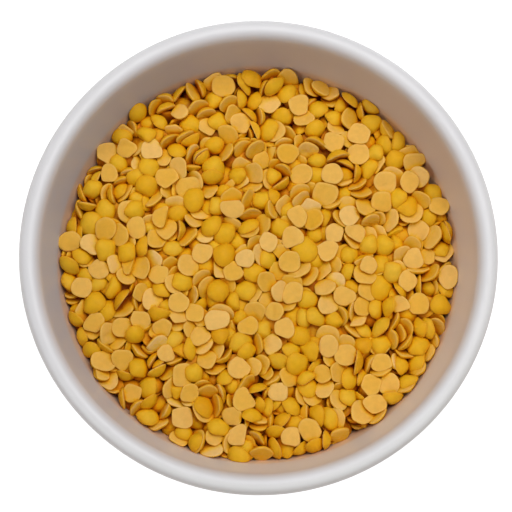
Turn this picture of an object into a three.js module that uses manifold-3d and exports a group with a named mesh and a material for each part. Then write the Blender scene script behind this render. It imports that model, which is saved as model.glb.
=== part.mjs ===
// A small white glazed bowl, filled with toor dal (split pigeon peas).
// Millimetres, +Z up. The origin is the centre of the foot ring, on the table.

import * as THREE from 'three';
import { mergeVertices } from 'three/addons/utils/BufferGeometryUtils.js';
import Module from 'manifold-3d';

const { degToRad, lerp, seededRandom } = THREE.MathUtils;

// The bowl
const RIM_DIAMETER = 115;
const BOWL_HEIGHT = 54;
const LIP_OUTSIDE = 2.5; // radius of the lip's round outside its crest
const LIP_INSIDE = 2.6; // how far the lip reaches in from its crest
const LIP_INSIDE_DROP = 3.6; // and how far it falls over that reach
const OUTSIDE_LEAN = degToRad(9); // of the wall's outside from the vertical, just under the lip
const INSIDE_LEAN = degToRad(8.6); // the same for its inside
const OUTSIDE_RUN = 25; // how long the outside keeps its lean before it curves
const INSIDE_RUN = 30; // the same for the inside
const FLOOR_HEIGHT = 10.5; // inside floor above the table
const FLOOR_SPREAD = 43; // how far out the inside floor stays nearly level
const BELLY_REACH = 13.5; // how far the outside swells past the foot ring
const BELLY_RISE = 3; // and how far above it
const FOOT_DIAMETER = 58;
const FOOT_RING_WIDTH = 4.5;
const FOOT_HEIGHT = 4.5;
const FOOT_RECESS = 3.2; // hollow inside the foot ring
const FOOT_EDGE = 0.6; // chamfer on both edges of the ring

// The heap of dal
const HEAP_DROP = 16.6; // from the rim down to where the heap meets the wall
const HEAP_MOUND = 1.2; // rise from the wall to the middle
const WALL_GAP = 0.45; // clear space between the dal and the bowl
const CORE_DEPTH = 1.5; // how far the core stays below the mean surface of the heap

// One split pea: a flat face on one side, a low dome on the other
const GRAIN_DIAMETER = 5.5;
const GRAIN_THICKNESS = 2.3;
const SHOULDER_RADIUS = 0.76; // where the dome turns over, as a share of the radius
const SHOULDER_HEIGHT = 0.74; // and of the thickness
const GRAIN_SIZE_SPREAD = 0.16; // share by which a grain may be larger or smaller
const GRAIN_NARROWEST = 0.84; // width over length of the most oval grain

// How the grains lie
const GRAIN_COUNT = 240;
const PLACE_JITTER = 0.4;
const FLAT_SIDE_UP = 0.55; // share of the grains that show their flat face
const TILT_MOST = degToRad(40);
const TILT_BIAS = 1.2;
const GRAIN_SINK = 0.3;
const SEED = 7;

// Facets
const BOWL_SEGMENTS = 48;
const WALL_STEPS = 7;
const LIP_STEPS = 3; // on each side of the crest
const CORE_SEGMENTS = 24;
const MOUND_STEPS = 5;
const GRAIN_SEGMENTS = 6;

const GOLDEN_ANGLE = Math.PI * (3 - Math.sqrt(5));

const wasm = await Module();
wasm.setup();
seededRandom(SEED);

// Both halves of the lip in the (radius, height) plane, which meet at its crest: a quarter round
// outside and part of a steeper ellipse inside. Each ends where it takes on the wall's lean.
const CREST_RADIUS = RIM_DIAMETER / 2 - LIP_OUTSIDE;
const INNER_LIP_END = Math.PI - Math.atan((LIP_INSIDE_DROP / LIP_INSIDE) * Math.tan(INSIDE_LEAN));
const outerLip = new THREE.EllipseCurve(
  CREST_RADIUS, BOWL_HEIGHT - LIP_OUTSIDE, LIP_OUTSIDE, LIP_OUTSIDE, -OUTSIDE_LEAN, Math.PI / 2,
);
const innerLip = new THREE.EllipseCurve(
  CREST_RADIUS, BOWL_HEIGHT - LIP_INSIDE_DROP, LIP_INSIDE, LIP_INSIDE_DROP, Math.PI / 2, INNER_LIP_END,
);

// One face of the wall: it leaves the lip at a lean, keeps it for a run and bends towards its end.
function wallCurve(start, lean, run, bend, end) {
  const down = new THREE.Vector2(-Math.sin(lean), -Math.cos(lean));
  return new THREE.CubicBezierCurve(start, start.clone().addScaledVector(down, run), bend, end);
}

const insideWall = wallCurve(
  innerLip.getPoint(1),
  INSIDE_LEAN,
  INSIDE_RUN,
  new THREE.Vector2(FLOOR_SPREAD, FLOOR_HEIGHT),
  new THREE.Vector2(0, FLOOR_HEIGHT),
);
const outsideWall = wallCurve(
  outerLip.getPoint(0),
  OUTSIDE_LEAN,
  OUTSIDE_RUN,
  new THREE.Vector2(FOOT_DIAMETER / 2 + BELLY_REACH, FOOT_HEIGHT + BELLY_RISE),
  new THREE.Vector2(FOOT_DIAMETER / 2, FOOT_HEIGHT),
);

// Turns a profile of (radius, height) points about +Z.
function turned(profile, segments) {
  return new THREE.LatheGeometry(profile, segments).rotateX(Math.PI / 2);
}

function bowlGeometry() {
  const outer = FOOT_DIAMETER / 2;
  const inner = outer - FOOT_RING_WIDTH;
  const foot = [
    [0, FOOT_RECESS],
    [inner - FOOT_EDGE, FOOT_RECESS],
    [inner, FOOT_EDGE],
    [inner + FOOT_EDGE, 0],
    [outer - FOOT_EDGE, 0],
    [outer, FOOT_EDGE],
  ].map(([radius, height]) => new THREE.Vector2(radius, height));
  const profile = [
    ...foot,
    ...outsideWall.getPoints(WALL_STEPS).reverse(),
    ...outerLip.getPoints(LIP_STEPS).slice(1),
    ...innerLip.getPoints(LIP_STEPS).slice(1),
    ...insideWall.getPoints(WALL_STEPS).slice(1),
  ];
  return turned(profile, BOWL_SEGMENTS);
}

// The inside radius of the bowl at a height, on the flats of its facets.
const wallPoints = insideWall.getPoints(WALL_STEPS);
function insideRadius(height) {
  const next = Math.max(1, wallPoints.findIndex((point) => point.y <= height));
  const above = wallPoints[next - 1];
  const below = wallPoints[next];
  const share = (above.y - height) / (above.y - below.y);
  return lerp(above.x, below.x, share) * Math.cos(Math.PI / BOWL_SEGMENTS);
}

const EDGE_HEIGHT = BOWL_HEIGHT - HEAP_DROP;
const EDGE_RADIUS = insideRadius(EDGE_HEIGHT) - WALL_GAP;

// Height of the core's surface: a low mound, just below the mean surface of the heap.
function coreHeight(radius) {
  return EDGE_HEIGHT - CORE_DEPTH + HEAP_MOUND * (1 - (radius / EDGE_RADIUS) ** 2);
}

// The closed body under the grains: the bowl's inside, less the gap, up to the mound.
function coreGeometry() {
  const coreEdge = EDGE_HEIGHT - CORE_DEPTH;
  const sides = wallPoints
    .filter((point) => point.y < coreEdge && point.x > 0)
    .map((point) => new THREE.Vector2(insideRadius(point.y) - WALL_GAP, point.y + WALL_GAP))
    .reverse();
  const mound = [];
  for (let step = 0; step <= MOUND_STEPS; step += 1) {
    const radius = (insideRadius(coreEdge) - WALL_GAP) * (1 - step / MOUND_STEPS);
    mound.push(new THREE.Vector2(radius, coreHeight(radius)));
  }
  const bottom = new THREE.Vector2(0, FLOOR_HEIGHT + WALL_GAP);
  return turned([bottom, ...sides, ...mound], CORE_SEGMENTS);
}

// A split pea of unit radius and unit thickness, lying on its flat face.
function grainGeometry() {
  const profile = [[0, 0], [1, 0], [SHOULDER_RADIUS, SHOULDER_HEIGHT], [0, 1]];
  return turned(profile.map(([radius, height]) => new THREE.Vector2(radius, height)), GRAIN_SEGMENTS);
}

// Where a grain lies: spread evenly by the golden angle, nudged, turned and tilted by seeded draws.
function grainMatrix(index) {
  const between = (low, high) => lerp(low, high, seededRandom());
  const angle = index * GOLDEN_ANGLE;
  const radius = EDGE_RADIUS * Math.sqrt((index + 0.5) / GRAIN_COUNT);
  const place = new THREE.Vector3(
    radius * Math.cos(angle) + between(-PLACE_JITTER, PLACE_JITTER),
    radius * Math.sin(angle) + between(-PLACE_JITTER, PLACE_JITTER),
    EDGE_HEIGHT,
  );

  const size = 1 + between(-GRAIN_SIZE_SPREAD, GRAIN_SIZE_SPREAD);
  const half = (GRAIN_DIAMETER / 2) * size;
  const scale = new THREE.Vector3(half, half * between(GRAIN_NARROWEST, 1), GRAIN_THICKNESS * size);

  const tiltAxis = between(0, 2 * Math.PI);
  const flip = seededRandom() < FLAT_SIDE_UP ? Math.PI : 0;
  const tilt = new THREE.Quaternion().setFromAxisAngle(
    new THREE.Vector3(Math.cos(tiltAxis), Math.sin(tiltAxis), 0),
    flip + TILT_MOST * seededRandom() ** TILT_BIAS,
  );
  const spin = new THREE.Quaternion().setFromAxisAngle(
    new THREE.Vector3(0, 0, 1),
    between(0, 2 * Math.PI),
  );
  return new THREE.Matrix4().compose(place, tilt.multiply(spin), scale);
}

function cornersOf(geometry) {
  const position = geometry.getAttribute('position');
  const corners = [];
  for (let i = 0; i < position.count; i += 1) {
    corners.push(new THREE.Vector3().fromBufferAttribute(position, i));
  }
  return corners;
}

const radiusOf = (point) => Math.hypot(point.x, point.y);

// Lets a grain down until its lowest point is sunk into the core.
function setDown(grain) {
  const clearances = cornersOf(grain).map((corner) => corner.z - coreHeight(radiusOf(corner)));
  return grain.translate(0, 0, -Math.min(...clearances) - GRAIN_SINK);
}

// Moves a grain towards the middle where it would cross the wall.
function moveOffWall(grain) {
  const overlap = (corner) => radiusOf(corner) + WALL_GAP - insideRadius(corner.z);
  const worst = cornersOf(grain).reduce((most, next) => (overlap(next) > overlap(most) ? next : most));
  const share = -Math.max(0, overlap(worst)) / radiusOf(worst);
  return grain.translate(worst.x * share, worst.y * share, 0);
}

// A closed three.js geometry as a solid that can be joined.
function solidFrom(geometry) {
  const bare = geometry.clone();
  bare.deleteAttribute('normal');
  bare.deleteAttribute('uv');
  const merged = mergeVertices(bare);
  return new wasm.Manifold(new wasm.Mesh({
    numProp: 3,
    vertProperties: merged.getAttribute('position').array,
    triVerts: new Uint32Array(merged.index.array),
  }));
}

function geometryFrom(solid) {
  const { vertProperties, triVerts } = solid.getMesh();
  const geometry = new THREE.BufferGeometry();
  geometry.setAttribute('position', new THREE.BufferAttribute(vertProperties, 3));
  geometry.setIndex(new THREE.BufferAttribute(triVerts, 1));
  geometry.computeVertexNormals();
  return geometry;
}

// The core and its grains as one body. Sealed pockets are shells of their own, and drop out.
function heapGeometry() {
  const unitGrain = grainGeometry();
  const pieces = [solidFrom(coreGeometry())];
  for (let index = 0; index < GRAIN_COUNT; index += 1) {
    const grain = unitGrain.clone().applyMatrix4(grainMatrix(index));
    pieces.push(solidFrom(setDown(moveOffWall(setDown(grain)))));
  }
  const shells = wasm.Manifold.union(pieces).decompose();
  return geometryFrom(shells.reduce((most, shell) => (shell.volume() > most.volume() ? shell : most)));
}

const glaze = new THREE.MeshStandardMaterial({ color: 0xe8e8ea, roughness: 0.3, metalness: 0 });
const dal = new THREE.MeshStandardMaterial({
  color: 0xdba83c,
  roughness: 0.6,
  metalness: 0,
  flatShading: true,
});

const bowlMesh = new THREE.Mesh(bowlGeometry(), glaze);
bowlMesh.name = 'bowl';
const heapMesh = new THREE.Mesh(heapGeometry(), dal);
heapMesh.name = 'dal_heap';

const dishOfDal = new THREE.Group();
dishOfDal.add(bowlMesh, heapMesh);

export default dishOfDal;
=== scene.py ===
"""A dish of toor dal: a small white glazed bowl with a low heap of split pigeon peas."""

import math

import bpy
import numpy as np
from mathutils import Matrix, Quaternion, Vector


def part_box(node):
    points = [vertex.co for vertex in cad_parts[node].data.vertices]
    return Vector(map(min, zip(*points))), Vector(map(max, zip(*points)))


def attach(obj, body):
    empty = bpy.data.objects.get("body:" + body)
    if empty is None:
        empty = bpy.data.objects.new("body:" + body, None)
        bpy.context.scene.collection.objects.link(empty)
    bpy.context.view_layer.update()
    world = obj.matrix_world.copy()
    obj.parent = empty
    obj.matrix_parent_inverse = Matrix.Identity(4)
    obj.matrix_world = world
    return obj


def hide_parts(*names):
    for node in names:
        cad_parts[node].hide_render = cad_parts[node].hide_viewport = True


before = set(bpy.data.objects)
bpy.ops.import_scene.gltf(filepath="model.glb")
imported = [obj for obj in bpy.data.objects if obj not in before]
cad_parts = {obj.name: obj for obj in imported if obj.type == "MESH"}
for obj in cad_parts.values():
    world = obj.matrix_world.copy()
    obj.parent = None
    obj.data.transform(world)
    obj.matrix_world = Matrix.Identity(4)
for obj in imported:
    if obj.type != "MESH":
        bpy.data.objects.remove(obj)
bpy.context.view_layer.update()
bowl_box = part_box("bowl")

MM = 0.001
FULL_TURN = 2 * math.pi
SEED = 7
rng = np.random.default_rng(SEED)

# The bowl's section, in metres, turned about +Z
RIM_RADIUS = bowl_box[1].x
BOWL_HEIGHT = bowl_box[1].z
LIP_OUTSIDE = 2.5 * MM
LIP_INSIDE = 2.6 * MM
LIP_INSIDE_DROP = 3.6 * MM
OUTSIDE_LEAN = math.radians(9)
INSIDE_LEAN = math.radians(8.6)
INSIDE_RUN = 30 * MM
OUTSIDE_RUN = 25 * MM
FLOOR_HEIGHT = 10.5 * MM
FLOOR_SPREAD = 43 * MM
BELLY_REACH = 13.5 * MM
BELLY_RISE = 3.0 * MM
FOOT_RADIUS = 29 * MM
FOOT_RING_WIDTH = 4.5 * MM
FOOT_HEIGHT = 4.5 * MM
FOOT_RECESS = 3.2 * MM
FOOT_ROUND = 0.6 * MM
RECESS_ROUND = 1.0 * MM
FOOT_FILLET = 1.2 * MM
FILLET_STEPS = 4
BOWL_SEGMENTS = 192
WALL_STEPS = 48
LIP_STEPS = 14
ROUND_STEPS = 4

# Where the glaze gets painted bounce light, painted light on one side, painted shade at the lip and where
# the dal touches, a dusting of dal with painted bounce, or is left off
PAINTED_BOUNCE_DEPTH = 5.0 * MM
PAINTED_BOUNCE_MEAN = 0.45
PAINTED_BOUNCE_SWING = 0.45
PAINTED_BOUNCE_SIDE = math.radians(-15)
PAINTED_LIGHT_SIDE = math.radians(-65)
PAINTED_LIGHT_MOST = 0.62
CREST_BLEND = 1.0 * MM
INNER_LIP_SHADE_DEPTH = 1.3 * MM
INNER_LIP_SHADE_MOST = 0.25
UNDER_LIP_SHADE_DEPTHS = (0.2 * MM, 1.0 * MM, 2.6 * MM, 6.0 * MM)
UNDER_LIP_SHADE_SHARES = (0, 1, 1, 0)
UNDER_LIP_SHADE_MOST = 0.7
DUST_AND_BOUNCE_REACH = 9.0 * MM
CONTACT_SHADE_REACH = 2.0 * MM
CONTACT_SHADE_MOST = 0.55
BARE_HEIGHT = 0.5 * MM

# The heap and the core under its loose grains
HEAP_DROP = 18.0 * MM
HEAP_MOUND = 4.5 * MM
HEAP_LIFT = 1.2 * MM
EDGE_HEIGHT = BOWL_HEIGHT - HEAP_DROP
CORE_DEPTH = 6.0 * MM
CORE_GAP = 0.4 * MM
CORE_SEGMENTS = 160
CORE_RINGS = 60

# One split pea, its flat face at height 0 and its dome above it
GRAIN_RADIUS = 2.88 * MM
GRAIN_HEIGHT = 1.85 * MM
DOME_EDGE_ANGLE = math.radians(62)
EDGE_LEVEL = 0.17
CENTROID_SHARE = 0.375
GRAIN_SIDES = 28
HULL_SIDES = 8

# How the grains differ from each other: spreads, limits and odds, with lengths as shares of the radius
SIZE_SPREAD = 0.075
SIZE_LIMITS = (0.8, 1.18)
HEIGHT_SPREAD = 0.09
HEIGHT_LIMITS = (0.78, 1.22)
NARROW_LIMITS = (0.84, 1.0)
FIRST_WAVE = 2
WAVE_SPREADS = (0.03, 0.028, 0.02, 0.012)
SIDE_COUNT_ODDS = (0.10, 0.22, 0.24, 0.18, 0.16, 0.10)
MOST_SIDES = len(SIDE_COUNT_ODDS) - 1
SIDE_STRAY = 0.25
SIDE_REACHES = (0.7, 0.9)
MANY_SIDES = 3
MANY_SIDES_EASE = 0.07
FEWEST_PARTS = 2.6
LEAST_FACING = 0.05
CORNER_POWER = 20
TIP_ODDS = 0.3
TIP_SIZES = (0.06, 0.2)
TIP_WIDTH = 0.3
NOTCH_ODDS = 0.25
NOTCH_SIZES = (0.04, 0.12)
NOTCH_WIDTH = 0.38
BROKEN_ODDS = 0.13
CUT_REACHES = (-0.05, 0.55)
CUT_SHARE = 0.93
DISH_LIMITS = (-0.07, 0.06)
FLAT_DEPTH = 0.08
GROOVE_ODDS = 0.5
GROOVE_DEPTHS = (0.03, 0.08)
GROOVE_OFFSETS = (-0.4, 0.4)
GROOVE_WIDTH = 0.22
LUMP_WAVES = 3
LUMP_SPREAD = 1.3
LUMP_SIZE = 0.02
BEND_SPREAD = 0.07

# How they drop, are shaken and settle, in millimetres and seconds
FLAT_SIDE_UP = 0.62
START_TILT = math.radians(40)
DROP_SPACING = 7.2
DROP_LAYER = 6.2
DROP_LAYERS = 6
DROP_START = 4.0
DROP_CLEARANCE = 3.6
DROP_JITTER = 0.3
EDGE_LAYER_START = 0.7
SETTLE_FRAMES = 25
SETTLE_SUBSTEPS = 12
SETTLE_GRAVITY = 2500.0
SHAKE_FRAMES = (6, 16)
SHAKE_LEAN = 0.14
SHAKE_TURN = math.radians(100)
GRAIN_FRICTION = 0.3
LINEAR_DAMPING = 0.1
ANGULAR_DAMPING = 0.3
BASIN_RINGS = 30
BASIN_SEGMENTS = 96
FUNNEL_REACH = 8 * MM
FUNNEL_RISE = 40 * MM

# How much of the sky a point between the grains sees
GRID_CELL = 0.5 * MM
GRID_SPREAD = 1
SKY_TURNS = 8
SKY_DISTANCES = (0.6 * MM, 1.1 * MM, 1.7 * MM, 2.5 * MM, 3.5 * MM, 5.0 * MM)


# Small tools


def link(name, data):
    """A mesh, light or camera as an object in the scene."""
    piece = bpy.data.objects.new(name, data)
    bpy.context.scene.collection.objects.link(piece)
    return piece


def mesh_from(name, points, faces):
    """A smooth mesh from an array of points and a list of faces."""
    mesh = bpy.data.meshes.new(name)
    mesh.from_pydata(np.asarray(points).tolist(), [], faces)
    mesh.shade_smooth()
    mesh.update()
    return mesh


def store(mesh, name, numbers):
    """Keeps one number for each point of a mesh, for its material to read."""
    layer = mesh.attributes.new(name, "FLOAT", "POINT")
    layer.data.foreach_set("value", np.asarray(numbers, np.float32))


def bezier(start, first, second, end, steps):
    """Points along a cubic curve, both ends included."""
    t = np.linspace(0, 1, steps + 1)[:, None]
    weights = [(1 - t) ** 3, 3 * (1 - t) ** 2 * t, 3 * (1 - t) * t**2, t**3]
    return sum(weight * np.array(point) for weight, point in zip(weights, (start, first, second, end)))


def rounded(corners):
    """A line of (radius, height, cut) corners, each rounded over the length of its cut."""
    places = np.array([corner[:2] for corner in corners], float)
    line = [places[0]]
    for index in range(1, len(corners) - 1):
        here, cut = places[index], corners[index][2]
        back = places[index - 1] - here
        ahead = places[index + 1] - here
        start = here + back / np.linalg.norm(back) * cut
        end = here + ahead / np.linalg.norm(ahead) * cut
        for t in np.linspace(0, 1, ROUND_STEPS + 1):
            line.append((1 - t) ** 2 * start + 2 * (1 - t) * t * here + t**2 * end)
    return np.array(line)


def ring_faces(rings, segments, first, last):
    """Faces between rings of points, with a fan at the first pole and one at the last."""
    faces = []
    top = (rings - 1) * segments
    for i in range(segments):
        j = (i + 1) % segments
        faces.append((first, j, i))
        for low in range(0, top, segments):
            high = low + segments
            faces.append((low + i, low + j, high + j, high + i))
        faces.append((last, top + i, top + j))
    return faces


def turned(profile, segments):
    """Points and faces of a closed body turned about +Z from a profile that starts and ends on the axis."""
    angles = np.linspace(0, FULL_TURN, segments, endpoint=False)
    rings = profile[1:-1]
    x = np.outer(rings[:, 0], np.cos(angles))
    y = np.outer(rings[:, 0], np.sin(angles))
    z = np.repeat(rings[:, 1:2], segments, axis=1)
    points = np.stack([x, y, z], axis=-1).reshape(-1, 3)
    first, last = len(points), len(points) + 1
    points = np.vstack([points, [0, 0, profile[0, 1]], [0, 0, profile[-1, 1]]])
    return points, ring_faces(len(rings), segments, first, last)


# The bowl

LIP_CREST = np.array([RIM_RADIUS - LIP_OUTSIDE, BOWL_HEIGHT])


def lip_arc(across, down, start, end):
    """A stretch of the lip's round, part of an ellipse that has its top at the lip's crest."""
    angles = np.linspace(start, end, LIP_STEPS + 1)
    return LIP_CREST + np.stack([across * np.cos(angles), down * (np.sin(angles) - 1)], axis=1)


def wall_curve(start, lean, run, bend, end):
    """One face of the wall, from the lip down: it keeps the wall's lean for a run, then bends."""
    down = np.array([-math.sin(lean), -math.cos(lean)])
    return bezier(start, start + run * down, bend, end, WALL_STEPS)


inner_end = math.pi - math.atan(LIP_INSIDE_DROP / LIP_INSIDE * math.tan(INSIDE_LEAN))
outer_lip = lip_arc(LIP_OUTSIDE, LIP_OUTSIDE, -OUTSIDE_LEAN, math.pi / 2)
inner_lip = lip_arc(LIP_INSIDE, LIP_INSIDE_DROP, math.pi / 2, inner_end)
inside_wall = wall_curve(
    inner_lip[-1],
    INSIDE_LEAN,
    INSIDE_RUN,
    (FLOOR_SPREAD, FLOOR_HEIGHT),
    (0, FLOOR_HEIGHT),
)
outside_wall = wall_curve(
    outer_lip[0],
    OUTSIDE_LEAN,
    OUTSIDE_RUN,
    (FOOT_RADIUS + BELLY_REACH, FOOT_HEIGHT + BELLY_RISE),
    (FOOT_RADIUS, FOOT_HEIGHT),
)


def bowl_profile():
    """The bowl's section, from the middle of its underside round to the middle of its inside."""
    inner = FOOT_RADIUS - FOOT_RING_WIDTH
    belly = outside_wall[-FILLET_STEPS::-1]
    foot = rounded([
        (0, FOOT_RECESS, 0),
        (inner, FOOT_RECESS, RECESS_ROUND),
        (inner, 0, FOOT_ROUND),
        (FOOT_RADIUS, 0, FOOT_ROUND),
        (FOOT_RADIUS, FOOT_HEIGHT, FOOT_FILLET),
        (*belly[0], 0),
    ])
    return np.vstack([foot, belly, outer_lip[1:], inner_lip[1:], inside_wall[1:]])


def glaze_shares(points, within):
    """How far each point of the glaze gets painted bounce light, painted light on one side, painted shade at
    the lip, a dusting of dal with painted bounce, painted warm shade where the dal touches, or is left bare.
    """
    radius = np.hypot(points[:, 0], points[:, 1])
    height = points[:, 2]
    depth = BOWL_HEIGHT - height
    side = np.arctan2(points[:, 1], points[:, 0])
    # Painted bounce light: the inner wall is tinted warm on one side and cooler on the other, fading in
    # below the lip.
    warm = PAINTED_BOUNCE_MEAN + PAINTED_BOUNCE_SWING * np.cos(side - PAINTED_BOUNCE_SIDE)
    painted_bounce_share = np.clip(depth / PAINTED_BOUNCE_DEPTH, 0, 1)

    on_lip = within | (depth < LIP_OUTSIDE)
    past_crest = np.clip((radius - LIP_CREST[0]) / CREST_BLEND + 0.5, 0, 1)
    outer = np.where(on_lip, past_crest, np.clip(2 - depth / LIP_OUTSIDE, 0, 1))
    below_lip = within * np.clip((depth - LIP_INSIDE_DROP / 2) / LIP_INSIDE_DROP, 0, 1)
    # Painted light: the glaze is made paler on one side, on the outside of the lip and low inside the wall.
    pale = PAINTED_LIGHT_MOST * np.clip(np.cos(side - PAINTED_LIGHT_SIDE), 0, 1)

    # Painted shade: a darker band where the inner lip turns down, and a darker line under the outer lip,
    # strongest on the -Y side.
    turn = INNER_LIP_SHADE_MOST * np.clip(1 - np.abs(depth / INNER_LIP_SHADE_DEPTH - 1), 0, 1)
    front_shade = UNDER_LIP_SHADE_MOST * (1 - np.sin(side)) / 2
    edge = front_shade * np.interp(depth, UNDER_LIP_SHADE_DEPTHS, UNDER_LIP_SHADE_SHARES)

    # A dusting of dal on the wall above the heap, which also paints warm bounce light from the grains,
    # stronger on one side.
    dust_and_bounce = np.clip(1 - (height - EDGE_HEIGHT) / DUST_AND_BOUNCE_REACH, 0, 1)
    # Painted warm shade where the grains touch the wall.
    painted_contact_shade = np.clip((EDGE_HEIGHT + CONTACT_SHADE_REACH - height) / CONTACT_SHADE_REACH, 0, 1)
    on_foot = radius > FOOT_RADIUS - FOOT_RING_WIDTH - FOOT_ROUND
    return {
        "warm": warm,
        "painted_bounce_share": within * painted_bounce_share,
        "pale": pale * np.maximum(below_lip, outer),
        "painted_lip_shade": np.where(within, turn, edge),
        "dust_and_bounce": within * warm * dust_and_bounce**2,
        "painted_contact_shade": CONTACT_SHADE_MOST * within * painted_contact_shade,
        "bare": (height < BARE_HEIGHT) & on_foot,
    }


def make_bowl():
    """The bowl, with the numbers that its glaze reads."""
    profile = bowl_profile()
    points, faces = turned(profile, BOWL_SEGMENTS)
    mesh = mesh_from("bowl_glazed", points, faces)
    last = len(profile) - 1
    first_inside = len(profile) - len(inner_lip[1:]) - len(inside_wall[1:])
    ring = np.append(np.repeat(np.arange(1, last), BOWL_SEGMENTS), [0, last])
    for name, numbers in glaze_shares(points, ring >= first_inside).items():
        store(mesh, name, numbers)
    return link("bowl_glazed", mesh)


def inside_radius(height):
    """The bowl's inside radius at a height."""
    return np.interp(height, inside_wall[::-1, 1], inside_wall[::-1, 0])


# The heap's form

EDGE_RADIUS = float(inside_radius(EDGE_HEIGHT))


def core_height(radius):
    """Height of the core's surface, a low mound a little below that of the heap."""
    return EDGE_HEIGHT - CORE_DEPTH + HEAP_MOUND * (1 - (radius / EDGE_RADIUS) ** 2)


def lift(radius):
    """Shaking levels the heap, so its middle is raised again by this much."""
    return HEAP_LIFT * np.clip(1 - (radius / EDGE_RADIUS) ** 2, 0, 1)


def make_core():
    """The closed body under the loose grains."""
    edge = EDGE_HEIGHT - CORE_DEPTH
    below = inside_wall[inside_wall[:, 1] < edge][::-1]
    sides = [(max(radius - CORE_GAP, 0), height + CORE_GAP) for radius, height in below]
    edge_radius = float(inside_radius(edge)) - CORE_GAP
    radii = np.linspace(edge_radius, 0, CORE_RINGS)
    top = [(radius, core_height(radius) + lift(radius)) for radius in radii]
    points, faces = turned(np.array([*sides, *top]), CORE_SEGMENTS)
    return link("dal_core", mesh_from("dal_core", points, faces))


# The shape of a grain


def dome_ring(share):
    """A ring of the dome, a cap of a sphere, at a share of the way from its top to its edge."""
    angle = share * DOME_EDGE_ANGLE
    low = math.cos(DOME_EDGE_ANGLE)
    rise = (math.cos(angle) - low) / (1 - low)
    return math.sin(angle) / math.sin(DOME_EDGE_ANGLE), EDGE_LEVEL + (1 - EDGE_LEVEL) * rise


# Rings from the flat face's middle to the dome's top, as shares of the outline and of the height
FLAT_RINGS = [(0.25, 0), (0.5, 0), (0.72, 0), (0.86, 0.01), (0.935, 0.035)]
EDGE_RINGS = [(0.98, 0.085), (1.0, EDGE_LEVEL)]
DOME_RINGS = [dome_ring(share) for share in (0.9, 0.75, 0.57, 0.38, 0.19)]
RINGS = FLAT_RINGS + EDGE_RINGS + DOME_RINGS
HULL_RINGS = [(0.98, 0.03), dome_ring(0.85), dome_ring(0.45)]

# How far each of these rings has the colour of the flat face, of its pale border and of the deeper edge,
# made redder as painted warm shade on the grains' sides
FLAT_SHARES = [1.0] * 5 + [0.8, 0.2] + [0.0] * 5
PALE_SHARES = [0.0] * 3 + [0.1, 0.25, 0.2] + [0.0] * 6
RIM_SHARES = [0.0] * 5 + [0.35, 0.9, 0.8, 0.35, 0.1] + [0.0] * 2


def any_angle(*shape):
    """Angles drawn from the whole turn."""
    return rng.uniform(0, FULL_TURN, shape)


def on_some(odds, limits, count):
    """A number between the limits for some of the grains, and 0 for the others."""
    chosen = rng.random(count) < odds
    return np.where(chosen, rng.uniform(*limits, count), 0)


def draw_grains(count):
    """Each grain's own numbers: size, outline, cuts and unevenness."""
    return {
        "radius": GRAIN_RADIUS * np.clip(rng.normal(1.0, SIZE_SPREAD, count), *SIZE_LIMITS),
        "height": GRAIN_HEIGHT * np.clip(rng.normal(1.0, HEIGHT_SPREAD, count), *HEIGHT_LIMITS),
        "narrow": rng.uniform(*NARROW_LIMITS, count),
        "wave_size": rng.normal(0, WAVE_SPREADS, (count, len(WAVE_SPREADS))),
        "wave_phase": any_angle(count, len(WAVE_SPREADS)),
        "side_count": rng.choice(len(SIDE_COUNT_ODDS), count, p=SIDE_COUNT_ODDS),
        "side_start": any_angle(count),
        "side_stray": rng.normal(0, SIDE_STRAY, (count, MOST_SIDES)),
        "side_reach": rng.uniform(*SIDE_REACHES, (count, MOST_SIDES)),
        "tip_size": on_some(TIP_ODDS, TIP_SIZES, count),
        "tip_angle": any_angle(count),
        "notch_size": on_some(NOTCH_ODDS, NOTCH_SIZES, count),
        "notch_angle": any_angle(count),
        "broken": rng.random(count) < BROKEN_ODDS,
        "cut_angle": any_angle(count),
        "cut_reach": rng.uniform(*CUT_REACHES, count),
        "dish": rng.uniform(*DISH_LIMITS, count),
        "groove_depth": on_some(GROOVE_ODDS, GROOVE_DEPTHS, count),
        "groove_angle": any_angle(count),
        "groove_offset": rng.uniform(*GROOVE_OFFSETS, count),
        "lump_way": rng.normal(0, LUMP_SPREAD, (count, LUMP_WAVES, 3)),
        "lump_phase": any_angle(count, LUMP_WAVES),
        "bend_size": rng.normal(0, BEND_SPREAD, count),
        "bend_angle": any_angle(count),
    }


def swell(angles, middle, width):
    """A smooth rise to 1 about the middle angle of each grain."""
    off = (angles - middle[:, None] + math.pi) % FULL_TURN - math.pi
    return np.exp(-((off / width) ** 2))


def outlines(grains, angles):
    """The outline of each grain at these angles, as a share of its radius."""
    orders = np.arange(FIRST_WAVE, FIRST_WAVE + len(WAVE_SPREADS))
    waves = np.cos(orders[None, :, None] * angles + grains["wave_phase"][..., None])
    reach = 1 + (grains["wave_size"][..., None] * waves).sum(axis=1)
    narrow = grains["narrow"][:, None]
    reach = reach / np.sqrt(np.cos(angles) ** 2 + (np.sin(angles) / narrow) ** 2)
    reach = reach + grains["tip_size"][:, None] * swell(angles, grains["tip_angle"], TIP_WIDTH)
    reach = reach - grains["notch_size"][:, None] * swell(angles, grains["notch_angle"], NOTCH_WIDTH)
    sides = grains["side_count"]
    ease = np.where(sides >= MANY_SIDES, MANY_SIDES_EASE, 0)
    for side in range(MOST_SIDES):
        around = FULL_TURN * side / np.maximum(sides, FEWEST_PARTS)
        turn = grains["side_start"] + around + grains["side_stray"][:, side]
        facing = np.cos(angles - turn[:, None])
        side_reach = grains["side_reach"][:, side] + ease
        flat = side_reach[:, None] / np.maximum(facing, LEAST_FACING)
        squared = (reach**-CORNER_POWER + flat**-CORNER_POWER) ** (-1 / CORNER_POWER)
        has_side = (sides > side)[:, None] & (facing > LEAST_FACING)
        reach = np.where(has_side, squared, reach)
    return reach


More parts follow.
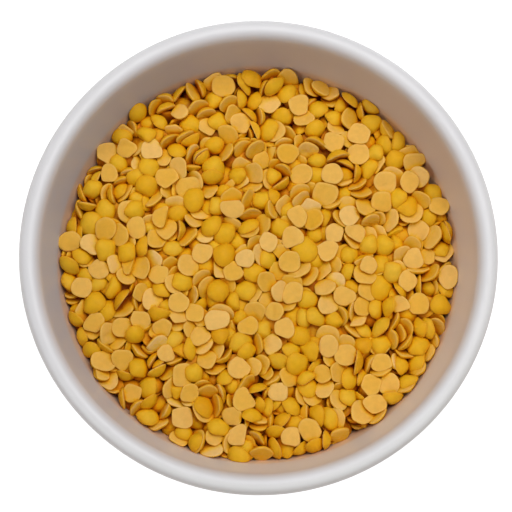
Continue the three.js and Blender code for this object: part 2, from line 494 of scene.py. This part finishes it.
def grain_points(grains, sides, rings):
    """Points of every grain, (count, points, 3): the flat face's middle, the rings, the dome's top."""
    angles = np.linspace(0, FULL_TURN, sides, endpoint=False)
    radius = grains["radius"][:, None] * outlines(grains, angles)
    height = grains["height"][:, None]
    count = len(radius)
    levels = [np.zeros((count, 1, 3))]
    for share, level in rings:
        x = share * radius * np.cos(angles)
        y = share * radius * np.sin(angles)
        z = np.broadcast_to(level * height, x.shape)
        levels.append(np.stack([x, y, z], axis=-1))
    levels.append(np.concatenate([np.zeros((count, 1, 2)), height[..., None]], axis=-1))
    return np.concatenate(levels, axis=1)


def grain_faces(sides, rings):
    """Faces of one grain, whose points are its flat middle, its rings and its top."""
    faces = ring_faces(rings, sides, -1, rings * sides)
    return [tuple(corner + 1 for corner in face) for face in faces]


def ways(angles):
    """The level directions at these angles."""
    return np.stack([np.cos(angles), np.sin(angles)], axis=-1)


def along(points, way):
    """How far each point of each grain lies along that grain's own level direction."""
    return np.einsum("npc,nc->np", points[..., :2], way)


def roughen(grains, points):
    """Makes each grain a little uneven: its flat face dished and grooved, its dome lumpy, all of it bent."""
    size = grains["radius"][:, None]
    unit = points / size[..., None]
    out = np.hypot(unit[..., 0], unit[..., 1])
    flatness = np.clip(1 - unit[..., 2] / FLAT_DEPTH, 0, 1)
    off_groove = along(unit, ways(grains["groove_angle"])) - grains["groove_offset"][:, None]
    groove = grains["groove_depth"][:, None] * np.exp(-((off_groove / GROOVE_WIDTH) ** 2))
    relief = (grains["dish"][:, None] + groove) * (1 - out**2)
    points[..., 2] += size * flatness * relief
    phase = np.einsum("npc,nwc->npw", unit, grains["lump_way"]) + grains["lump_phase"][:, None, :]
    points *= 1 + LUMP_SIZE * np.sin(phase).sum(axis=-1)[..., None]
    across = along(unit, ways(grains["bend_angle"]))
    points[..., 2] += size * grains["bend_size"][:, None] * across**2
    return points


def break_grains(grains, points):
    """Cuts the broken grains off along an upright plane."""
    way = ways(grains["cut_angle"])
    reach = (grains["cut_reach"] * grains["radius"])[:, None]
    past = along(points, way) - reach
    past = np.where(grains["broken"][:, None], np.clip(past, 0, None), 0)
    points[..., :2] -= CUT_SHARE * past[..., None] * way[:, None, :]
    return points


def centred(points, middle):
    """The points of each grain measured from its middle."""
    return points - middle[:, None, :]


# How the grains come to rest


def basin():
    """What the grains fall into, in millimetres: the core's surface and the wall, carried on upwards."""
    core_edge = float(inside_radius(EDGE_HEIGHT - CORE_DEPTH))
    radii = np.linspace(0, core_edge, BASIN_RINGS)
    mound = np.stack([radii, core_height(radii)], axis=1)
    wall = inside_wall[inside_wall[:, 1] > EDGE_HEIGHT - CORE_DEPTH + MM][::-1]
    funnel = [RIM_RADIUS + FUNNEL_REACH, BOWL_HEIGHT + FUNNEL_RISE]
    profile = np.vstack([mound, wall, funnel, [0, funnel[1]]]) / MM
    points, faces = turned(profile, BASIN_SEGMENTS)
    top = len(points) - 1
    return points, [face for face in faces if top not in face]


def drop_spots():
    """Where the grains start, in millimetres: staggered layers, the last of them only near the wall."""
    spots = []
    steps = int(RIM_RADIUS / MM / DROP_SPACING) + 2
    for layer in range(DROP_LAYERS + 1):
        for i in range(-steps, steps + 1):
            for j in range(-steps, steps + 1):
                x = (i + j % 2 / 2) * DROP_SPACING + rng.uniform(-DROP_JITTER, DROP_JITTER)
                y = j * DROP_SPACING * math.sqrt(3) / 2 + rng.uniform(-DROP_JITTER, DROP_JITTER)
                radius = math.hypot(x, y)
                height = core_height(radius * MM) / MM + DROP_START + layer * DROP_LAYER
                reach = float(inside_radius(height * MM)) / MM - DROP_CLEARANCE
                least = EDGE_LAYER_START * reach if layer == DROP_LAYERS else 0
                if least <= radius < reach:
                    spots.append((x, y, height))
    return spots


def start_turn():
    """How a grain is turned as it drops: more of them flat side up, and tilted any way."""
    heading = rng.uniform(0, FULL_TURN)
    tilt = rng.normal(0, START_TILT) + (math.pi if rng.random() < FLAT_SIDE_UP else 0)
    axis = Vector((math.cos(heading), math.sin(heading), 0))
    spin = Quaternion((0, 0, 1), rng.uniform(0, FULL_TURN))
    return Quaternion(axis, tilt) @ spin


def let_fall(bodies):
    """Lets the bodies fall and touch: the first is the fixed basin, the others are the grains."""
    bpy.ops.rigidbody.world_add()
    world = bpy.context.scene.rigidbody_world
    world.substeps_per_frame = SETTLE_SUBSTEPS
    world.collection = bpy.data.collections.new("settling")
    for body in bodies:
        world.collection.objects.link(body)
        body.rigid_body.friction = GRAIN_FRICTION
        body.rigid_body.restitution = 0
    bodies[0].rigid_body.type = "PASSIVE"
    bodies[0].rigid_body.collision_shape = "MESH"
    for body in bodies[1:]:
        body.rigid_body.collision_shape = "CONVEX_HULL"
        body.rigid_body.linear_damping = LINEAR_DAMPING
        body.rigid_body.angular_damping = ANGULAR_DAMPING


def settle(spots, hulls, faces):
    """Drops the grains over the core inside the bowl, and returns where each comes to rest."""
    scene = bpy.context.scene
    bodies = [link("basin", mesh_from("basin", *basin()))]
    for index, hull in enumerate(hulls):
        name = f"hull_{index}"
        bodies.append(link(name, mesh_from(name, hull / MM, faces)))
    for body, spot in zip(bodies[1:], spots):
        body.rotation_mode = "QUATERNION"
        body.location = spot
        body.rotation_quaternion = start_turn()

    let_fall(bodies)
    for number in range(1, SETTLE_FRAMES + 1):
        shaken = SHAKE_FRAMES[0] <= number <= SHAKE_FRAMES[1]
        lean = SHAKE_LEAN if shaken else 0
        turn = SHAKE_TURN * number
        pull = Vector((lean * math.cos(turn), lean * math.sin(turn), -1))
        scene.gravity = SETTLE_GRAVITY * pull
        scene.frame_set(number)
    rest = np.array([np.array(body.matrix_world) for body in bodies[1:]])

    bpy.ops.rigidbody.world_remove()
    for body in bodies:
        mesh = body.data
        bpy.data.objects.remove(body)
        bpy.data.meshes.remove(mesh)
    scene.frame_set(1)
    return rest


# The heap


def shifted(grid, reach):
    """Copies of a grid moved by every step within a reach of cells."""
    for across in range(-reach, reach + 1):
        for onward in range(-reach, reach + 1):
            yield np.roll(grid, (across, onward), axis=(0, 1))


def sky_seen(points):
    """How much of the sky each point sees past the grains around it, from 0 to 1."""
    size = int(2 * RIM_RADIUS / GRID_CELL) + 1
    column = ((points[..., :2] + RIM_RADIUS) / GRID_CELL).astype(int)
    surface = np.full((size, size), EDGE_HEIGHT - CORE_DEPTH)
    np.maximum.at(surface, (column[..., 0], column[..., 1]), points[..., 2])
    surface = np.max(list(shifted(surface, GRID_SPREAD)), axis=0)
    hidden = np.zeros(points.shape[:2])
    for turn in np.linspace(0, FULL_TURN, SKY_TURNS, endpoint=False):
        steepest = np.zeros(points.shape[:2])
        for distance in SKY_DISTANCES:
            step = np.array([math.cos(turn), math.sin(turn)]) * distance / GRID_CELL
            spot = np.clip(column + np.rint(step).astype(int), 0, size - 1)
            rise = surface[spot[..., 0], spot[..., 1]] - points[..., 2]
            steepest = np.maximum(steepest, rise / np.hypot(rise, distance))
        hidden += steepest / SKY_TURNS
    return 1 - hidden


def by_point(middle, shares):
    """One number for each point of a grain: its flat middle, its rings and its top, which has 0."""
    return np.concatenate([[middle], np.repeat(shares, GRAIN_SIDES), [0.0]])


def joined(name, points, tone, sky, faces):
    """Many grains as one mesh, with the numbers that its material reads."""
    count, each = points.shape[:2]
    all_faces = []
    for index in range(count):
        start = index * each
        all_faces += [tuple(start + corner for corner in face) for face in faces]
    mesh = mesh_from(name, points.reshape(-1, 3), all_faces)
    values = {
        "sky": sky.ravel(),
        "flat_face": np.tile(by_point(1.0, FLAT_SHARES), count),
        "pale": np.tile(by_point(0.0, PALE_SHARES), count),
        "rim": np.tile(by_point(0.0, RIM_SHARES), count),
        "tone": np.repeat(tone[:, 0], each),
        "warmth": np.repeat(tone[:, 1], each),
    }
    for key, numbers in values.items():
        store(mesh, key, numbers)
    return link(name, mesh)


def make_heap():
    """The loose grains at rest, joined into one mesh for each kind."""
    spots = drop_spots()
    grains = draw_grains(len(spots))
    fine = break_grains(grains, roughen(grains, grain_points(grains, GRAIN_SIDES, RINGS)))
    hulls = break_grains(grains, grain_points(grains, HULL_SIDES, HULL_RINGS))
    middle = hulls.mean(axis=1)
    middle[:, 2] = CENTROID_SHARE * grains["height"]
    rest = settle(spots, centred(hulls, middle), grain_faces(HULL_SIDES, len(HULL_RINGS)))
    held = rest[:, 2, 3] > 0

    turned_points = np.einsum("nij,npj->npi", rest[:, :3, :3], centred(fine, middle))
    placed = turned_points + rest[:, None, :3, 3] * MM
    placed[..., 2] += lift(np.hypot(placed[..., 0], placed[..., 1]))
    tone = rng.normal(0, 1, (len(spots), 2))
    sky = np.zeros(placed.shape[:2])
    sky[held] = sky_seen(placed[held])

    whole = held & ~grains["broken"]
    sides = grains["side_count"]
    kinds = {
        "dal_round": whole & (sides == 0),
        "dal_one_side": whole & (sides == 1),
        "dal_two_sides": whole & (sides == 2),
        "dal_three_sides": whole & (sides == 3),
        "dal_squared": whole & (sides > 3),
        "dal_broken": held & grains["broken"],
    }
    faces = grain_faces(GRAIN_SIDES, len(RINGS))
    return [joined(name, placed[kind], tone[kind], sky[kind], faces) for name, kind in kinds.items()]


# Materials

# Painted light on one side of the glaze.
PAINTED_LIGHT_GLAZE = (0.95, 0.94, 0.92, 1)
# Painted shade at the lip.
LIP_SHADE_GLAZE = (0.55, 0.49, 0.46, 1)
# A dusting of dal, also painting warm bounce light.
DAL_DUST_AND_BOUNCE = (0.78, 0.56, 0.36, 1)
# Painted warm shade where the dal touches the wall.
CONTACT_SHADE_TINT = (0.80, 0.46, 0.15, 1)
BARE_CLAY = (0.55, 0.5, 0.43, 1)
CLAY_ROUGHNESS = (0.9, 0.9, 0.9, 1)
PALE_BORDER = (0.90, 0.61, 0.21, 1)
# The peas' own deeper edge, made redder as painted warm shade.
GRAIN_EDGE_AND_SHADE = (0.80, 0.395, 0.011, 1)
TONE_REACH = 2.2
BLACK = (0, 0, 0)
WHITE = (1, 1, 1)


class Nodes:
    """A material's nodes, made and joined by short calls."""

    def __init__(self, name):
        self.material = bpy.data.materials.new(name)
        self.material.use_nodes = True
        self.tree = self.material.node_tree
        self.shader = self.tree.nodes["Principled BSDF"]

    def add(self, kind, **settings):
        """A new node with these settings."""
        node = self.tree.nodes.new(kind)
        for key, value in settings.items():
            setattr(node, key, value)
        return node

    def join(self, out, socket):
        """Joins an output to an input."""
        self.tree.links.new(out, socket)

    def attribute(self, name):
        """A number kept on the mesh."""
        return self.add("ShaderNodeAttribute", attribute_name=name).outputs["Fac"]

    def noise(self, scale, detail=2.0, roughness=0.5):
        """Noise through the object's own space."""
        place = self.add("ShaderNodeTexCoord").outputs["Object"]
        node = self.add("ShaderNodeTexNoise")
        self.join(place, node.inputs["Vector"])
        node.inputs["Scale"].default_value = scale
        node.inputs["Detail"].default_value = detail
        node.inputs["Roughness"].default_value = roughness
        return node.outputs["Fac"]

    def ramp(self, value, stops):
        """A colour for a number, from (position, colour) stops."""
        node = self.add("ShaderNodeValToRGB")
        elements = node.color_ramp.elements
        while len(elements) < len(stops):
            elements.new(0.5)
        for element, (position, colour) in zip(elements, stops):
            element.position = position
            element.color = (*colour, 1)
        self.join(value, node.inputs["Fac"])
        return node.outputs["Color"]

    def mix(self, share, first, second, blend="MIX"):
        """A share of the second colour over the first."""
        node = self.add("ShaderNodeMix", data_type="RGBA", blend_type=blend)
        for value, socket in ((share, node.inputs[0]), (first, node.inputs[6]), (second, node.inputs[7])):
            if isinstance(value, (int, float, tuple)):
                socket.default_value = value
            else:
                self.join(value, socket)
        return node.outputs[2]

    def spread(self, value, low, high, to_low, to_high):
        """A number carried from one range to another."""
        node = self.add("ShaderNodeMapRange")
        self.join(value, node.inputs["Value"])
        limits = {"From Min": low, "From Max": high, "To Min": to_low, "To Max": to_high}
        for key, number in limits.items():
            node.inputs[key].default_value = number
        return node.outputs["Result"]

    def colour(self, value):
        """Sets the surface's colour."""
        self.join(value, self.shader.inputs["Base Color"])

    def bump(self, height, distance, strength):
        """Adds a fine unevenness to the surface."""
        node = self.add("ShaderNodeBump")
        self.join(height, node.inputs["Height"])
        node.inputs["Distance"].default_value = distance
        node.inputs["Strength"].default_value = strength
        self.join(node.outputs["Normal"], self.shader.inputs["Normal"])

    def set(self, **values):
        """Sets what is the same all over the surface."""
        for key, value in values.items():
            self.shader.inputs[key.replace("_", " ")].default_value = value


def glaze_material():
    """White glaze with faint clouds, painted bounce light inside, painted light on one side, painted shade
    at the lip, a dusting of dal with painted bounce, painted warm shade where the dal touches, and a bare
    foot.
    """
    nodes = Nodes("white_glaze")
    cloud = nodes.noise(60, 3)
    white = nodes.ramp(cloud, [(0.3, (0.75, 0.74, 0.755)), (0.7, (0.78, 0.77, 0.785))])
    # Painted bounce light on the inner wall: a warm tint and a cooler tint, mixed by side.
    warm = nodes.ramp(cloud, [(0.3, (0.74, 0.60, 0.51)), (0.7, (0.77, 0.63, 0.54))])
    cool = nodes.ramp(cloud, [(0.3, (0.53, 0.55, 0.63)), (0.7, (0.56, 0.58, 0.66))])
    wall = nodes.mix(nodes.attribute("warm"), cool, warm)
    colour = nodes.mix(nodes.attribute("painted_bounce_share"), white, wall)
    # Painted light on one side.
    colour = nodes.mix(nodes.attribute("pale"), colour, PAINTED_LIGHT_GLAZE)
    # Painted shade at the lip.
    colour = nodes.mix(nodes.attribute("painted_lip_shade"), colour, LIP_SHADE_GLAZE)
    # A speckled dusting of dal, also painting warm bounce light from the grains.
    specks = nodes.ramp(nodes.noise(420, 4, 0.65), [(0.35, (0.25, 0.25, 0.25)), (0.75, (0.6, 0.6, 0.6))])
    dust_and_bounce = nodes.mix(nodes.attribute("dust_and_bounce"), (*BLACK, 1), specks)
    colour = nodes.mix(dust_and_bounce, colour, DAL_DUST_AND_BOUNCE)
    # Painted warm shade where the dal touches the wall.
    colour = nodes.mix(nodes.attribute("painted_contact_shade"), colour, CONTACT_SHADE_TINT)
    bare = nodes.attribute("bare")
    nodes.colour(nodes.mix(bare, colour, BARE_CLAY))
    gloss = nodes.spread(nodes.noise(240, 2), 0.3, 0.7, 0.40, 0.46)
    nodes.join(nodes.mix(bare, gloss, CLAY_ROUGHNESS), nodes.shader.inputs["Roughness"])
    nodes.bump(nodes.noise(350, 2), 0.2 * MM, 0.08)
    return nodes.material


def dal_material():
    """Split peas: yellow domes, paler flat faces, a deeper edge made redder as painted warm shade, a fine
    mottle, warm shade in the gaps.
    """
    nodes = Nodes("split_peas")
    tone = nodes.spread(nodes.attribute("tone"), -TONE_REACH, TONE_REACH, 0, 1)
    warmth = nodes.spread(nodes.attribute("warmth"), -TONE_REACH, TONE_REACH, 0, 1)
    dome = nodes.ramp(tone, [
        (0.0, (0.80, 0.38, 0.007)),
        (0.35, (0.83, 0.445, 0.011)),
        (0.7, (0.84, 0.478, 0.019)),
        (1.0, (0.84, 0.50, 0.04)),
    ])
    flat = nodes.ramp(warmth, [
        (0.0, (0.81, 0.42, 0.028)),
        (0.35, (0.83, 0.455, 0.058)),
        (0.7, (0.86, 0.495, 0.105)),
        (1.0, (0.91, 0.585, 0.20)),
    ])
    colour = nodes.mix(nodes.attribute("flat_face"), dome, flat)
    colour = nodes.mix(nodes.attribute("pale"), colour, PALE_BORDER)
    # The deeper edge, made redder as painted warm shade.
    colour = nodes.mix(nodes.attribute("rim"), colour, GRAIN_EDGE_AND_SHADE)
    mottle = nodes.spread(nodes.noise(700, 4, 0.6), 0.3, 0.7, 0.90, 1.0)
    colour = nodes.mix(1.0, colour, nodes.ramp(mottle, [(0, BLACK), (1, WHITE)]), "MULTIPLY")
    shade = nodes.ramp(nodes.attribute("sky"), [
        (0.0, (0.46, 0.12, 0.004)),
        (0.05, (0.87, 0.57, 0.03)),
        (0.1, (1.0, 0.88, 0.13)),
        (0.2, (1.0, 1.0, 0.45)),
        (0.38, WHITE),
    ])
    nodes.colour(nodes.mix(1.0, colour, shade, "MULTIPLY"))
    nodes.set(
        Roughness=0.55,
        Specular_IOR_Level=0.14,
        Subsurface_Weight=0.2,
        Subsurface_Radius=(1.0, 0.75, 0.35),
        Subsurface_Scale=0.7 * MM,
    )
    nodes.bump(nodes.noise(2500, 3), 0.05 * MM, 0.12)
    return nodes.material


def core_material():
    """The dark warm shade far down between the grains."""
    nodes = Nodes("dal_shade")
    cloud = nodes.noise(300, 2)
    nodes.colour(nodes.ramp(cloud, [(0.3, (0.10, 0.025, 0.002)), (0.7, (0.16, 0.045, 0.003))]))
    nodes.set(Roughness=1.0, Specular_IOR_Level=0.0)
    return nodes.material


def floor_material():
    """A plain white floor, lit from within so that it stays even."""
    nodes = Nodes("pale_floor")
    nodes.set(
        Base_Color=(0.35, 0.35, 0.35, 1),
        Roughness=0.9,
        Emission_Color=(*WHITE, 1),
        Emission_Strength=0.95,
    )
    return nodes.material


# The pieces

bowl = make_bowl()
bowl.data.materials.append(glaze_material())
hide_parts("bowl")
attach(bowl, "root")

core = make_core()
core.data.materials.append(core_material())
heap_material = dal_material()
heap = make_heap()
for piece in heap:
    piece.data.materials.append(heap_material)
for piece in (core, *heap):
    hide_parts("dal_heap")
    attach(piece, "root")

# Floor and light: each light's azimuth and elevation in degrees, distance, size and power

FLOOR_SIZE = 3.0
FLOOR_CORNERS = ((-1, -1), (1, -1), (1, 1), (-1, 1))
WORLD_LIGHT = 0.08
LIGHTS = {
    "near_back": (84, 67, 0.43, (0.3, 0.3), 1.17),
    "high_right": (8, 60, 0.95, (0.5, 0.5), 2.28),
    "fill_left": (208, 38, 0.95, (0.5, 0.5), 2.12),
    "strip_right": (335, 6, 0.95, (0.8, 0.1), 0.5),
}
RIM_MIDDLE = Vector((0, 0, BOWL_HEIGHT))

scene = bpy.context.scene
scene.view_settings.view_transform = "Standard"

floor_points = [(x * FLOOR_SIZE / 2, y * FLOOR_SIZE / 2, 0) for x, y in FLOOR_CORNERS]
floor = link("floor", mesh_from("floor", floor_points, [(0, 1, 2, 3)]))
floor.data.materials.append(floor_material())

world = bpy.data.worlds.new("studio")
world.use_nodes = True
background = world.node_tree.nodes["Background"]
background.inputs["Color"].default_value = (*WHITE, 1)
background.inputs["Strength"].default_value = WORLD_LIGHT
scene.world = world


def add_light(name, azimuth, elevation, distance, size, power):
    """A rectangular light that faces the middle of the bowl's rim."""
    light = bpy.data.lights.new(name, "AREA")
    light.shape = "RECTANGLE"
    light.size, light.size_y = size
    light.energy = power
    around, up = math.radians(azimuth), math.radians(elevation)
    way = Vector((math.cos(up) * math.cos(around), math.cos(up) * math.sin(around), math.sin(up)))
    holder = link(name, light)
    holder.location = RIM_MIDDLE + distance * way
    holder.rotation_mode = "QUATERNION"
    holder.rotation_quaternion = (-way).to_track_quat("-Z", "Y")
    holder.visible_camera = False


for name, settings in LIGHTS.items():
    add_light(name, *settings)

# The camera, almost straight above the bowl

CAMERA_DISTANCE = 0.4
CAMERA_TILT = math.radians(8.1)
CAMERA_TURN = math.radians(-6.65)
FRAME_WIDTH = 122.12 * MM
SENSOR_WIDTH = 36.0
RIM_OFFSET = (0.758 * MM, 0.934 * MM)


def make_camera():
    """The camera, tilted towards the viewer, with the rim's middle a little off the frame's middle."""
    back = Vector((
        math.sin(CAMERA_TILT) * math.sin(CAMERA_TURN),
        -math.sin(CAMERA_TILT) * math.cos(CAMERA_TURN),
        math.cos(CAMERA_TILT),
    ))
    right = Vector((0, 1, 0)).cross(back).normalized()
    above = back.cross(right)
    aim = RIM_MIDDLE - right * RIM_OFFSET[0] - above * RIM_OFFSET[1]
    facing = Matrix((right, above, back)).transposed().to_4x4()
    camera = bpy.data.cameras.new("camera")
    camera.sensor_width = SENSOR_WIDTH
    camera.lens = SENSOR_WIDTH * CAMERA_DISTANCE / FRAME_WIDTH
    holder = link("camera", camera)
    holder.matrix_world = Matrix.Translation(aim + back * CAMERA_DISTANCE) @ facing
    return holder


scene.camera = make_camera()
